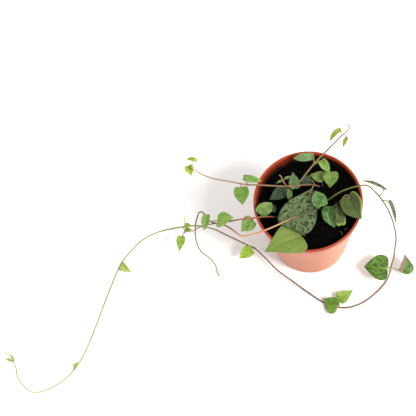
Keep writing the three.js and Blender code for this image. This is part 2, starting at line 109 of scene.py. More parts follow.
# Each stem: name, finish, radius, radius at the tip, route from root to tip.
STEMS = [
    ("stem_upper_left", "tan_stem", 0.75, 0.42, [
        (14.5, 17, 87.2), (8.5, 17.5, 92), (0, 17.5, 96), (-8.5, 17, 98.5), (-17.5, 17.5, 100),
        (-28.5, 19.5, 101), (-45.5, 23, 102.5), (-54.5, 24.5, 103.5), (-75, 31, 107), (-86, 34.5, 109),
        (-95, 39.5, 110.5), (-101, 44, 112), (-104, 47, 113.5), (-102.5, 52, 116), (-99, 53.5, 118),
        (-96, 56.5, 120), (-93.5, 60.5, 123), (-89.5, 62, 125),
    ]),
    ("stem_upper_right", "mauve_stem", 0.85, 0.55, [
        (-6.5, 18.5, 101.5), (-4, 19.5, 103), (5, 26, 108), (11.5, 30.5, 112), (22, 35.5, 120.5),
        (33, 39.5, 131.5), (40, 41.5, 140), (44, 42.5, 144), (48, 43.5, 148), (49, 44.5, 151),
        (47, 46, 153),
    ]),
    ("stem_long", "long_stem", 0.72, 0.45, [
        (18.5, 1, 87.3), (24.5, 2, 92.5), (31.5, 3.5, 96.5), (42, 4.5, 100), (51.5, 4.5, 101.5),
        (56, 4.5, 101), (60, 3.5, 98.5), (63.5, 1.5, 93), (68.5, -1.5, 84), (75, -5.5, 65),
        (78.5, -8.5, 52), (81, -13, 39.5), (82.5, -20, 27), (82, -25, 20), (80, -30.5, 14),
        (77.5, -38, 9), (74.5, -43.5, 6), (70, -53, 2.5), (65.5, -59, 1), (59, -65, 1), (51, -70.5, 1),
        (41.5, -75.5, 1), (33.5, -78, 1), (24, -79, 1), (16, -77.5, 1), (8, -73.5, 1), (0, -68.5, 1.5),
        (-11, -58, 3), (-24.5, -44, 5), (-38.5, -29.5, 7.5), (-48.5, -15, 10), (-56.5, -4.5, 11),
        (-65, 2, 11), (-79.5, 14, 9), (-94, 26, 6), (-109.5, 33.5, 3), (-126, 36, 1), (-148, 35, 1),
        (-165, 29.5, 1), (-178, 20, 1), (-190, 8.5, 1), (-210, -26, 1), (-225.5, -55.5, 1),
        (-234, -71, 1), (-244, -86, 1), (-252.5, -95.5, 1), (-263.5, -104, 1), (-280.5, -110.5, 1),
        (-290, -111.5, 1), (-296.5, -110, 1), (-303.5, -102, 1), (-308, -91.5, 1), (-308.5, -83, 1),
        (-310.5, -76, 2.5), (-312.5, -69, 4.5), (-316.5, -66.5, 6),
    ]),
    ("stem_left", "red_stem", 0.75, 0.35, [
        (-30, -8, 87.5), (-38.5, -9.5, 97), (-44.5, -10, 100.5), (-51.5, -10, 101.5), (-58, -8, 98),
        (-65.5, -5, 92), (-81.5, 3, 72.5), (-97.5, 13, 50), (-105.5, 16.5, 40), (-111.5, 18, 31.5),
        (-116.5, 18.5, 26), (-119.5, 21, 24), (-121, 25.5, 26), (-121, 29.5, 28.5), (-120, 35, 32),
    ]),
    ("stem_lower_left", "gold_stem", 0.75, 0.62, [
        (10.5, -7, 87.2), (9, -9.5, 96), (6.5, -12.2, 102.6), (0.8, -15, 106), (-6.5, -17, 107),
        (-17.5, -19, 107.5), (-30, -22.5, 107), (-40.5, -25, 106), (-47.5, -25.5, 103.5),
        (-53, -25, 99.5), (-61, -23, 93), (-66.5, -21, 88), (-69.5, -19, 85.5), (-72.5, -14.5, 83),
        (-80.5, -3, 76), (-88, 3.5, 70.5), (-94.5, 8.5, 66), (-98, 14, 63), (-100, 19.5, 60.5),
        (-102, 24, 58), (-105, 25, 55), (-107.5, 22.5, 51), (-110, 18.5, 46), (-111.5, 14.5, 40),
        (-112.5, 10.5, 34), (-112.5, 6.5, 28), (-111.5, 2.5, 22), (-109, -1, 16), (-104, -4.5, 11),
        (-100, -8.5, 7), (-97.5, -13.5, 4), (-97, -18, 2), (-95.5, -23.5, 1),
    ]),
    ("pot_shoot", "shoot_stem", 0.55, 0.5, [
        (-17.6, 16.6, 102.2), (-20, 21, 103), (-21.5, 25.5, 106.5), (-23, 27, 108),
    ]),
    ("dry_stub", "dry_stem", 0.75, 0.8, [
        (17.5, 16.5, 87), (17, 18.5, 90), (17.5, 20.5, 93),
    ]),
]

# Each leaf: name, finish, where its stalk leaves the stem, notch, tip, width, roll, fold, arch in
# degrees, and form.
LEAVES = [
    ("leaf_a_upper", "mid_pale", (-54.5, 25, 104.5), (-57, 31, 107),
     (-40, 25.5, 104), 8.8, 26, 35, 20, "oval"),
    ("leaf_a_lower", "mid_green", (-60.5, 25.5, 103.5), (-61, 24, 101.5),
     (-62.5, 7.5, 96), 15, 0, 12, 25, "broad"),
    ("leaf_a_tip_lower", "young", (-105, 46, 111.5), (-107, 52, 109.5),
     (-106, 42, 106.5), 9.5, 10, 20, 20, "soft"),
    ("leaf_a_tip_upper", "young", (-101.5, 53, 114.5), (-98.5, 55, 110.5),
     (-108.5, 59, 110), 7, 30, 20, 20, "oval"),
    ("leaf_b_left", "cool_green", (11.5, 31.5, 113), (12.5, 38, 113.5),
     (-6.5, 44, 103), 10.5, -30, 40, 25, "oval"),
    ("leaf_b_right", "lime_veined", (13, 30.5, 111), (19, 34, 109.5),
     (25, 22.5, 104), 10.5, 10, 35, 25, "oval"),
    ("leaf_b_tip_left", "young", (40, 43, 141), (41, 47.5, 142), (29, 41, 133), 7, 25, 15, 60, "oval"),
    ("leaf_b_tip_right", "young", (43, 40.5, 142.5), (45.5, 38.5, 141),
     (40, 32, 135), 5, 25, 20, 30, "oval"),
    ("leaf_c_rim_upper", "rim_grey", (69.5, -2, 84.5), (76, 2, 86),
     (53.5, 13, 94), 6.8, 45, 30, 25, "oval"),
    ("leaf_c_rim_lower", "rim_grey", (73, -3.5, 75), (77.5, -6, 77),
     (81, -24, 62), 6.8, -40, 30, 20, "oval"),
    ("leaf_c_big_heart", "dark_heart", (73, -47.5, 6), (68.5, -50, 12),
     (46.5, -44, 14), 27.5, 0, 8, 15, "broad"),
    ("leaf_c_folded", "folded", (75.5, -49, 7.5), (80, -53.5, 9),
     (89, -37.5, 12), 24.5, 58, 58, 10, "broad"),
    ("leaf_c_front_upper", "bright_green", (15.5, -75, 1.5), (16.5, -71, 5),
     (32, -64, 7), 13.5, 0, 15, 10, "shield"),
    ("leaf_c_front_lower", "mid_green", (16, -75.5, 1.5), (14, -76, 3),
     (1, -66.5, 4), 21, -35, 35, 10, "soft"),
    ("leaf_c_lime", "lime", (-56.5, -3, 12), (-59.5, -6, 14), (-73.5, -12.5, 12), 13, 0, 15, 15, "broad"),
    ("leaf_e_oval", "mid_pale", (-98.5, 15.5, 63), (-97.5, 17, 66),
     (-103, 3.5, 60), 9.2, 10, 20, 10, "oval"),
    ("leaf_c_floor_small", "pale_lime", (-189, 8.5, 1.5), (-190, 5.5, 3.5),
     (-181.5, -5, 4), 11, 35, 35, 10, "shield"),
    ("leaf_c_floor_bud", "young", (-251.5, -95, 2), (-251, -93.5, 2.5),
     (-247, -87.5, 4), 3.4, 0, 20, 10, "slender"),
    ("leaf_c_tip_narrow", "young", (-310, -75.5, 3), (-309.5, -75, 5),
     (-312, -69.5, 7), 2.6, 0, 20, 10, "slender"),
    ("leaf_c_tip_bud", "young", (-311.5, -76, 3), (-312.5, -75.5, 4),
     (-316.5, -73.5, 5.5), 3, 0, 20, 10, "oval"),
    ("leaf_d_bright", "bright_green", (-94, 8, 67.5), (-88.5, 4.5, 75),
     (-73, 0, 87), 16, 0, 10, 10, "broad"),
    ("leaf_d_behind", "mid_pale", (-54.5, -9, 98), (-55, -7.5, 91),
     (-68, -14.5, 85), 15.5, 0, 12, 10, "broad"),
    ("leaf_d_curl_right", "young", (-123.5, 23.5, 26), (-121.5, 25, 28.5),
     (-114.5, 23, 30), 5.5, 0, 15, 50, "oval"),
    ("leaf_d_curl_left", "fresh_green", (-123.5, 20, 24), (-122.5, 21, 26.5),
     (-114.5, 19.5, 27.5), 4.4, 0, 15, 40, "oval"),
    ("leaf_d_hanging", "fresh_green", (-120, 21, 23), (-126.5, 17.5, 21),
     (-131, 3, 18), 9, 0, 12, 15, "soft"),
    ("leaf_big_silver", "silver", (9, 17.5, 92.5), (7, 13.5, 96),
     (-20, -27.5, 101.5), 36, 0, 3, 10, "drop"),
    ("leaf_big_plain", "plain_olive", (-8.5, -30.5, 86), (-13, -33.5, 96),
     (-50, -44, 96), 35, 0, 6, 30, "shield"),
    ("leaf_right_olive", "grey_olive", (28.5, -4.5, 86), (38, -2.5, 97.5),
     (46, -29.5, 100.5), 23, 22, 22, 15, "low"),
    ("leaf_heart_front", "marbled_heart", (27.5, -5.5, 86), (22, -9.5, 96),
     (20, -30, 91.5), 23, 40, 30, 15, "broad"),
    ("leaf_heart_curled", "curled_olive", (30, -9.5, 86), (27.5, -7.5, 90.5),
     (27, -27.5, 89.5), 10.5, 0, 10, 12, "drop"),
    ("leaf_heart_middle", "marbled_heart", (14, -5, 86), (11.5, -10.5, 103),
     (8, 6.5, 104), 15, 0, 8, 10, "oval"),
    ("leaf_back_lime", "back_lime", (30, 26, 86), (27, 25, 99.5), (23, 10, 96), 15, 0, 10, 15, "broad"),
    ("leaf_back_olive", "back_olive", (21.5, 23, 86), (19, 22, 94), (6.5, 29.5, 91), 12, 0, 12, 15, "soft"),
    ("leaf_grey_upper", "grey_green", (-8.5, 19.5, 86), (-10, 17.5, 92),
     (-9, 34.5, 93), 11, 0, 12, 10, "soft"),
    ("leaf_dark_right", "shaded", (9, 18, 93.5), (7, 24, 92), (-6.5, 22, 89), 10.5, 0, 10, 10, "oval"),
    ("leaf_dark_left", "shaded", (-15.5, 18, 86), (-17.5, 17.5, 92), (-36, 11, 90), 13, 0, 10, 15, "oval"),
    ("leaf_folded_small", "shoot_green", (-17, 15.5, 99.5), (-16, 14, 98),
     (-18, 5, 92), 7.6, -15, 45, 10, "oval"),
    ("leaf_shoot_left", "shoot_green", (-19.5, 21.5, 104), (-21.5, 22, 105),
     (-27.5, 21, 103), 2.6, 0, 20, 10, "slender"),
    ("leaf_shoot_right", "shoot_green", (-19.5, 22.5, 105), (-18, 23, 106),
     (-11.5, 25, 104.5), 3.2, 0, 20, 10, "slender"),
    ("leaf_rim_lime", "rim_mottled", (-43.5, 9, 85), (-48, -7, 102),
     (-34, 4.5, 97), 14.5, 0, 10, 15, "oval"),
    ("leaf_behind_small", "shaded", (-32.5, -2.5, 87), (-36.5, -3, 94), (-32, 4, 92), 8, 0, 15, 10, "oval"),
]


# ---------------------------------------------------------------- finishes


def linear(shade):
    """The linear red, green and blue of a shade written as sRGB hex."""
    parts = (int(shade[i:i + 2], 16) / 255 for i in (1, 3, 5))
    return tuple(c / 12.92 if c <= 0.04045 else ((c + 0.055) / 1.055) ** 2.4 for c in parts)


class Signal:
    """A socket in a finish. Arithmetic on it adds Math nodes."""

    def __init__(self, finish, socket):
        self.finish = finish
        self.socket = socket

    def math(self, operation, *values):
        return self.finish.math(operation, self, *values)

    def __add__(self, other):
        return self.math("ADD", other)

    def __sub__(self, other):
        return self.math("SUBTRACT", other)

    def __rsub__(self, other):
        return self.finish.math("SUBTRACT", other, self)

    def __mul__(self, other):
        return self.math("MULTIPLY", other)

    def __pow__(self, other):
        return self.math("POWER", other)

    def __abs__(self):
        return self.math("ABSOLUTE")

    __radd__ = __add__
    __rmul__ = __mul__


def least(value, other):
    return value.math("MINIMUM", other) if isinstance(value, Signal) else min(value, other)


def most(value, other):
    return value.math("MAXIMUM", other) if isinstance(value, Signal) else max(value, other)


def ease(value, low, high):
    """0 up to low and 1 from high, with a smooth step between."""
    if isinstance(value, Signal):
        return value.finish.node(
            "ShaderNodeMapRange", {"interpolation_type": "SMOOTHSTEP"},
            {"Value": value, "From Min": low, "From Max": high})
    part = min(max((value - low) / (high - low), 0), 1)
    return part * part * (3 - 2 * part)


class Finish:
    """A procedural material, built node by node onto its Principled shader."""

    def __init__(self, name, **constants):
        self.material = bpy.data.materials.new(name)
        self.material.use_nodes = True
        self.tree = self.material.node_tree
        self.surface = self.tree.nodes["Principled BSDF"]
        for socket, value in constants.items():
            self.feed(self.surface.inputs[socket.replace("_", " ")], value)

    def feed(self, socket, value):
        if isinstance(value, Signal):
            self.tree.links.new(value.socket, socket)
        elif isinstance(value, tuple) and socket.type == "RGBA":
            socket.default_value = (*value, 1)
        else:
            socket.default_value = value

    def node(self, kind, settings=None, sockets=None, output=0):
        """Adds a node: its settings first, then the values or links of its sockets."""
        made = self.tree.nodes.new(kind)
        for key, value in (settings or {}).items():
            if key == "stops":
                self.set_stops(made.color_ramp, value)
            else:
                setattr(made, key, value)
        for key, value in (sockets or {}).items():
            self.feed(made.inputs[key], value)
        return Signal(self, made.outputs[output])

    def set_stops(self, ramp, stops):
        while len(ramp.elements) < len(stops):
            ramp.elements.new(1)
        for element, (position, shade) in zip(ramp.elements, stops):
            element.position = position
            element.color = (*linear(shade), 1)

    def math(self, operation, *values):
        return self.node("ShaderNodeMath", {"operation": operation}, dict(enumerate(values)))

    def mix(self, part, one, other):
        """One colour where part is 0 and the other where it is 1."""
        return self.node("ShaderNodeMix", {"data_type": "RGBA"}, {0: part, 6: one, 7: other}, output=2)

    def where(self):
        return self.node("ShaderNodeTexCoord", output="Object")

    def cloud(self, scale, detail=3, place=None, roughness=0.5):
        """Soft noise, with scale in lumps a metre."""
        sockets = {"Vector": place or self.where(), "Scale": scale, "Detail": detail,
                   "Roughness": roughness}
        return self.node("ShaderNodeTexNoise", {}, sockets)

    def cells(self, scale, place=None, feature="F1"):
        sockets = {"Vector": place or self.where(), "Scale": scale}
        return self.node("ShaderNodeTexVoronoi", {"feature": feature}, sockets)

    def paint(self, colour, roughness, height, depth):
        """Links what varies over the surface. depth is the bump's, in metres."""
        self.feed(self.surface.inputs["Base Color"], colour)
        self.feed(self.surface.inputs["Roughness"], roughness)
        bump = self.node("ShaderNodeBump", {}, {"Height": height, "Distance": depth, "Strength": 1.0})
        self.feed(self.surface.inputs["Normal"], bump)
        return self.material


def veins(across, down):
    """1 on the midrib and on the side veins that arch from notch to tip, and 0 between them.

    across is -1 to 1 from edge to edge of the blade, and down is 0 at the notch and 1 at the tip.
    It works on numbers and on a finish's signals.
    """
    run = least(most(down * 1.08 - 0.08, 0.002), 0.999)
    spread = run ** 0.55 * (1 - run) * 2.5
    side = abs(across)
    beside = least(abs(side - spread * 0.45), abs(side - spread * 0.86))
    rib = 1 - ease(side, 0.015, 0.085)
    arches = (1 - ease(beside, 0.015, 0.075)) * (1 - ease(run, 0.6, 0.95))
    return most(rib * (1 - ease(run, 0.8, 1) * 0.5), arches)


def leaf_finish(name, body, deep, vein, under, vein_strength=0.5, blotch=0.35, blotch_scale=210,
                margin=None, gloss=0.45, spot=None):
    """The skin of a leaf.

    margin is (shade, ring, side): a rim of another shade on one or both sides.
    spot is (across, down, size): a hole in the blade, painted as a near-black spot of painted shade and the
    dark soil seen through it.
    """
    finish = Finish(name, Specular_IOR_Level=0.22)
    place = finish.node("ShaderNodeAttribute", {"attribute_name": "place"}, output="Vector")
    split = finish.node("ShaderNodeSeparateXYZ", {}, {0: place})
    parts = split.socket.node.outputs
    across, down, ring = (Signal(finish, parts[axis]) for axis in range(3))
    below = finish.node("ShaderNodeAttribute", {"attribute_name": "under"}, output="Fac")
    drift = finish.cloud(260, 2) - 0.5
    line = veins(across + drift * 0.22, down + drift * 0.08)
    broken = ease(finish.cloud(520, 3), 0.38, 0.6)
    mottle = ease(finish.cloud(blotch_scale, 3), 0.49, 0.59)
    feather = abs(finish.math("FRACT", down * 8 - abs(across) * 2.6 + drift * 1.6) - 0.5) * 2
    twigs = ease(feather, 0.6, 1) * ease(abs(across), 0.04, 0.2) * broken * 0.6
    broad = ease(finish.cloud(90, 2), 0.35, 0.65)
    skin = finish.mix(mottle * blotch, linear(body), linear(deep))
    skin = finish.mix(broad * 0.25, skin, linear(deep))
    flecks = ease(finish.cloud(620, 3, roughness=0.6), 0.5, 0.6) * (1 - mottle) * 0.8
    pale = most(most(line * (broken * 0.7 + 0.3), twigs * (1 - mottle)), flecks)
    skin = finish.mix(pale * vein_strength, skin, linear(vein))
    if margin:
        shade, start, side = margin
        rim = ease(ring + drift * 0.06, start, 0.97)
        if side:
            rim = rim * ease(across * side, 0.1, 0.35)
        skin = finish.mix(rim, skin, linear(shade))
    # Painted shade: a near-black spot where a hole in the blade shows the dark below.
    if spot:
        x, y, size = spot
        side, ahead = (across - x) * 0.4, down - y
        away = side * side + ahead * ahead + drift * size * size
        skin = finish.mix(1 - ease(away, size * size * 0.5, size * size), skin, linear("#0b1208"))
    back = finish.mix(line * 0.35 + mottle * 0.15, linear(under), linear(vein))
    skin = finish.mix(below, skin, back)
    fine = finish.cloud(1400, 2)
    height = fine * 0.25 + mottle * 0.2 - line * 0.6
    return finish.paint(skin, gloss + fine * 0.12 + broad * 0.06, height, 0.00018)


def stem_finish(name, stops):
    """A wiry stem, its shades running from root to tip, and redder where a leaf's stalk joins."""
    finish = Finish(name, Specular_IOR_Level=0.35)
    place = finish.node("ShaderNodeAttribute", {"attribute_name": "place"}, output="Vector")
    split = finish.node("ShaderNodeSeparateXYZ", {}, {0: place})
    parts = split.socket.node.outputs
    along, joint = Signal(finish, parts[0]), Signal(finish, parts[1])
    patches = finish.cloud(160, 3)
    shade = finish.node("ShaderNodeValToRGB", {"stops": stops}, {0: along + (patches - 0.5) * 0.03})
    shade = finish.mix(joint * 0.6, shade, linear("#a8703a"))
    shade = finish.mix(ease(patches, 0.5, 0.7) * 0.3, shade, linear("#5c4a2c"))
    grain = finish.cloud(900, 3)
    return finish.paint(shade, 0.45 + grain * 0.2, grain, 0.0001)


def stalk_finish(name, one, other):
    finish = Finish(name, Specular_IOR_Level=0.35)
    patches = finish.cloud(300, 3)
    shade = finish.mix(ease(patches, 0.4, 0.6), linear(one), linear(other))
    grain = finish.cloud(1200, 2)
    return finish.paint(shade, 0.42 + grain * 0.2, grain, 0.00008)


def plastic_finish(name, shade, worn, gloss, specks, shaded_inside=False):
    """Thin moulded plastic with a faint bloom, scuffs and a few specks of soil.

    An inside finish gets painted shade: near black, all but a lit patch high at the back left. The outside
    gets a painted highlight, paler towards its right.
    """
    finish = Finish(name, Specular_IOR_Level=0.3)
    bloom = ease(finish.cloud(28, 4), 0.35, 0.7)
    scuffs = ease(finish.cloud(420, 4, roughness=0.7), 0.6, 0.72)
    colour = finish.mix(bloom * 0.5, linear(shade), linear(worn))
    colour = finish.mix(scuffs * 0.3, colour, linear(worn))
    dirt = (1 - ease(finish.cells(150), 0.07, 0.16)) * ease(finish.cloud(45, 2), 0.52, 0.62)
    colour = finish.mix(dirt * specks, colour, linear("#3a2218"))
    if shaded_inside:
        split = finish.node("ShaderNodeSeparateXYZ", {}, {0: finish.where()})
        right, back, height = (Signal(finish, split.socket.node.outputs[axis]) for axis in range(3))
        # Painted shade over the inner wall: near black, all but this lit patch high up at the back left.
        lit_patch = ease((back - right) * 20 + finish.cloud(90, 4) * 0.6, 0.95, 1.45)
        lit_patch = lit_patch * ease(height * 100 + finish.cloud(160, 4), 9.1, 9.5)
        colour = finish.mix(lit_patch, linear("#140c08"), colour)
    elif name == "pot_outside_painted_light":
        # Painted highlight: the outside wall is painted paler towards its right, where the light falls.
        split = finish.node("ShaderNodeSeparateXYZ", {}, {0: finish.where()})
        right = Signal(finish, split.socket.node.outputs[0])
        colour = finish.mix(ease(right, -0.005, 0.045), colour, linear("#dba68f"))
    grain = finish.cloud(1800, 2)
    return finish.paint(colour, gloss + bloom * 0.1 + scuffs * 0.12, grain * 0.4 + scuffs * 0.3, 0.00012)


def soil_finish(name, dark, brown, amount):
    finish = Finish(name, Specular_IOR_Level=0.05)
    patches = ease(finish.cloud(240, 5, roughness=0.65), 0.5, 0.72)
    colour = finish.mix(patches * amount, linear(dark), linear(brown))
    flecks = ease(finish.cloud(1300, 3, roughness=0.7), 0.62, 0.74)
    colour = finish.mix(flecks * 0.4, colour, linear("#3b2d20"))
    grit = finish.cloud(1500, 5, roughness=0.7)
    return finish.paint(colour, 0.9 + patches * 0.08, grit, 0.0009)


def floor_finish():
    finish = Finish("floor_paper")
    tone = finish.mix(finish.cloud(3, 3), (0.93, 0.93, 0.93), (0.9, 0.9, 0.895))
    return finish.paint(tone, 0.85, finish.cloud(400, 2), 0.0001)


# ---------------------------------------------------------------- shapes


class Shape:
    """Points, faces and what the finishes read of them, gathered for one mesh."""

    def __init__(self):
        self.points = []
        self.faces = []
        self.slots = []
        self.place = []
        self.under = []

    def add(self, points, faces, slot=0, place=None, under=None):
        start = len(self.points)
        self.points += points
        self.faces += [tuple(start + corner for corner in face) for face in faces]
        self.slots += [slot] * len(faces)
        self.place += place or [(0, 0, 0)] * len(points)
        self.under += under or [0] * len(points)

    def piece(self, name, finishes):
        """Makes the object, which stands for the CAD node of the same name."""
        mesh = bpy.data.meshes.new(name)
        mesh.from_pydata([Vector(point) * MM for point in self.points], [], self.faces)
        for finish in finishes:
            mesh.materials.append(finish)
        mesh.polygons.foreach_set("material_index", self.slots)
        place = mesh.attributes.new("place", "FLOAT_VECTOR", "POINT")
        place.data.foreach_set("vector", [value for spot in self.place for value in spot])
        under = mesh.attributes.new("under", "FLOAT", "POINT")
        under.data.foreach_set("value", self.under)
        mesh.shade_smooth()
        mesh.update()
        thing = bpy.data.objects.new(name + "_piece", mesh)
        bpy.context.scene.collection.objects.link(thing)
        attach(thing, "root")
        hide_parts(name)
        return thing


def smooth_route(route, spacing):
    """Points about a given distance apart on the smooth curve through a route."""
    knots = [Vector(point) for point in route]
    knots = [knots[0] * 2 - knots[1], *knots, knots[-1] * 2 - knots[-2]]
    dense = []
    for before, start, end, after in zip(knots, knots[1:], knots[2:], knots[3:]):
        lead = max((start - before).length, 1e-6) ** 0.5
        span = max((end - start).length, 1e-6) ** 0.5
        trail = max((after - end).length, 1e-6) ** 0.5
        leaving = ((start - before) / lead - (end - before) / (lead + span) + (end - start) / span) * span
        arriving = ((end - start) / span - (after - start) / (span + trail) + (after - end) / trail) * span
        steps = 12
        for step in range(steps):
            t = step / steps
            dense.append(
                start * (2 * t ** 3 - 3 * t ** 2 + 1) + leaving * (t ** 3 - 2 * t ** 2 + t)
                + end * (3 * t ** 2 - 2 * t ** 3) + arriving * (t ** 3 - t ** 2))
    dense.append(knots[-2])
    return even_points(dense, spacing)


def even_points(dense, spacing):
    lengths = [0]
    for one, other in zip(dense, dense[1:]):
        lengths.append(lengths[-1] + (other - one).length)
    count = max(2, round(lengths[-1] / spacing))
    points = []
    at = 0
    for step in range(count + 1):
        goal = lengths[-1] * step / count
        while at < len(dense) - 2 and lengths[at + 1] < goal:
            at += 1
        part = (goal - lengths[at]) / max(lengths[at + 1] - lengths[at], 1e-9)
        points.append(dense[at].lerp(dense[at + 1], min(max(part, 0), 1)))
    return points


def tube(shape, path, radii, sides, slot=0, place=None, under=0):
    """Adds a closed tube along a path, with a rounded end at each end."""
    tangent = (path[1] - path[0]).normalized()
    normal = tangent.orthogonal().normalized()
    points, spots = [], []
    count = len(path)
    for i, centre in enumerate(path):
        ahead = (path[min(i + 1, count - 1)] - path[max(i - 1, 0)]).normalized()
        normal = (normal - ahead * normal.dot(ahead)).normalized()
        beside = ahead.cross(normal)
        for side in range(sides):
            angle = 2 * math.pi * side / sides
            points.append(centre + (normal * math.cos(angle) + beside * math.sin(angle)) * radii[i])
            spots.append(place[i] if place else (0, 0, 0))
    faces = []
    for i in range(count - 1):
        for side in range(sides):
            turn = (side + 1) % sides
            here, there = i * sides, (i + 1) * sides
            faces.append((here + side, here + turn, there + turn, there + side))
    for end, direction in ((0, -1), (count - 1, 1)):
        inner = path[1] if end == 0 else path[-2]
        points.append(path[end] + (path[end] - inner).normalized() * radii[end] * 0.6)
        spots.append(spots[end * sides])
        tip = len(points) - 1
        for side in range(sides):
            turn = (side + 1) % sides
            pair = (end * sides + side, end * sides + turn)
            faces.append((*pair[::direction][::-1], tip) if direction > 0 else (pair[1], pair[0], tip))
    shape.add(points, faces, slot, spots, [under] * len(points))


def bezier(ends, t):
    a, b, c, d = ends
    s = 1 - t
    return tuple(s ** 3 * a[i] + 3 * s * s * t * b[i] + 3 * s * t * t * c[i] + t ** 3 * d[i] for i in (0, 1))


def half_outline(form, steps):
    """Half of a leaf's outline from notch to tip, x in leaf widths and y in leaf lengths."""
    lobes, belly, fullness, flipped = FORMS[form]
    shoulder = 0.333 + 0.167 * min(fullness, 1)
    flank = 0.16 + 0.2 * max(fullness - 1, 0)
    rest = 1 - belly
    curves = (
        ((0, 0.02), (0.03, -0.1 * lobes), (0.16, -0.17 * lobes), (0.28, -0.13 * lobes)),
        ((0.28, -0.13 * lobes), (0.43, -0.08 * lobes), (0.5, belly - 0.16), (0.5, belly)),
        ((0.5, belly), (shoulder, belly + 0.36 * rest), (flank, belly + 0.667 * rest), (0, 1)),
    )
    dense = [Vector((*bezier(curve, k / 24), 0)) for curve in curves for k in range(24)]
    dense.append(Vector((0, 1, 0)))
    if flipped:
        dense = [Vector((p.x, 1 - p.y, 0)) for p in reversed(dense)]
    total = sum((b - a).length for a, b in zip(dense, dense[1:]))
    return even_points(dense, total / steps)


class Blade:
    """A leaf's blade in space: bent from notch to tip, folded along its midrib and rolled about it."""

    def __init__(self, base, tip, roll, fold, arch):
        self.start = Vector(base)
        self.along = Vector(tip) - self.start
        chord = self.along.length
        self.along.normalize()
        upright = Vector((0, 0, 1))
        up = (upright - self.along * upright.dot(self.along)).normalized()
        self.up = Matrix.Rotation(math.radians(roll), 3, self.along) @ up
        self.across = self.along.cross(self.up)
        self.bend = math.radians(arch)
        self.fold = math.radians(fold)
        self.radius = chord / (2 * math.sin(self.bend / 2))
        self.length = self.radius * self.bend

    def place(self, x, y, h):
        turn = (y / self.length - 0.5) * self.bend
        half = self.bend / 2
        lift = abs(x) * math.sin(self.fold) + h / math.cos(self.fold)
        return (
            self.start
            + self.along * (self.radius * (math.sin(turn) + math.sin(half)) + lift * math.sin(turn))
            + self.up * (self.radius * (math.cos(turn) - math.cos(half)) + lift * math.cos(turn))
            + self.across * (x * math.cos(self.fold)))


def leaf(name, look, node, base, tip, width, roll, fold, arch, form):
    """A heart-shaped blade, quilted between its veins, with a stalk that runs on as the midrib."""
    blade = Blade(base, tip, roll, fold, arch)
    length = blade.length
    steps = 26 if width > SMALL_LEAF else 16
    rings = 15 if width > SMALL_LEAF else 8
    half = half_outline(form, steps)
    rim = [(p.x * width, p.y * length) for p in half]
    rim += [(-x, y) for x, y in rim[-2:0:-1]]
    count = len(rim)
    middle = (0, VEIN_CENTRE * length)
    sway = random.uniform(0, 6.28)
    ripple = min(0.45, width * 0.02)
    shape = Shape()
    for side in (1, -1):
        points, spots = [], []
        for ring in range(rings + 1):
            part = (ring / rings) ** 0.85
            thick = BLADE_THICKNESS / 2 * (1 - 0.6 * part ** 3)
            for i, (rx, ry) in enumerate(rim):
                x = rx * part
                y = middle[1] + (ry - middle[1]) * part
                across, down = 2 * x / width, y / length
                quilt = ripple * 0.5 * (1 - veins(across, down)) * (1 - part ** 4)
                wave = ripple * part ** 3 * math.sin(3 * 2 * math.pi * i / count + sway)
                points.append(blade.place(x, y, side * thick + quilt + wave - ripple * 0.5))
                spots.append((across, down, part))
                if ring == 0:
                    break
        faces = []
        for i in range(count):
            turn = (i + 1) % count
            faces.append((0, 1 + i, 1 + turn))
            for ring in range(rings - 1):
                a, b = 1 + ring * count, 1 + (ring + 1) * count
                faces.append((a + i, b + i, b + turn, a + turn))
        if side < 0:
            faces = [face[::-1] for face in faces]
        shape.add(points, faces, 0, spots, [0.5 - side / 2] * len(points))
    layer = 1 + rings * count
    edge = layer - count
    shape.faces += [(edge + i, layer + edge + i, layer + edge + (i + 1) % count, edge + (i + 1) % count)
                    for i in range(count)]
    shape.slots += [0] * count
    start, notch = Vector(node), Vector(base)
    bow = start.lerp(notch, 0.6)
    bow.z += 0.2 * (notch - start).length
    under = -BLADE_THICKNESS / 2 - 0.1
    lead = [start, *CROOKED_STALKS.get(name, [bow]), blade.place(0, middle[1], under * 0.7)]
    route = list(lead)
    route += [blade.place(0, part * length, under) for part in (0.35, 0.6, 0.82)]
    path = smooth_route(route, 0.9)
    reach = sum((b - a).length for a, b in zip(lead, lead[1:]))
    whole = sum((b - a).length for a, b in zip(path, path[1:]))
    radii, gone = [], 0
    for i, point in enumerate(path):
        gone += (point - path[i - 1]).length if i else 0
        on_blade = max(0, (gone - reach) / max(whole - reach, 0.1))
        radii.append(STALK_RADIUS * (1.15 - 0.15 * min(gone / reach, 1)) * (1 - 0.85 * on_blade))
    tube(shape, path, radii, 8, 1)
    return shape.piece(name, [LOOKS[look], STALKS.get(name, STALK)])


def stem(name, look, radius, end_radius, route):
    """A wiry stem, thinner to its tip, with a knot where each leaf's stalk leaves it."""
    path = smooth_route(route, 0.9)
    joints = [Vector(row[2]) for row in LEAVES]
    near = [[(point - joint).length for joint in joints] for point in path]
    whole = len(path) - 1
    radii, spots = [], []
    for i, point in enumerate(path):
        knot = math.exp(-(min(near[i]) / KNOT_LENGTH) ** 2)
        uneven = 1 + 0.1 * noise.noise(point * 0.25) + 0.05 * noise.noise(point * 0.9)
        part = i / whole
        taper = radius + (end_radius - radius) * ease(part, 0.35, 1)
        radii.append(taper * uneven * (1 + KNOT_SWELL * knot))
        spots.append((part, knot, 0))
    shape = Shape()
    tube(shape, path, radii, 10, 0, spots)
    return shape.piece(name, [LOOKS[look]])


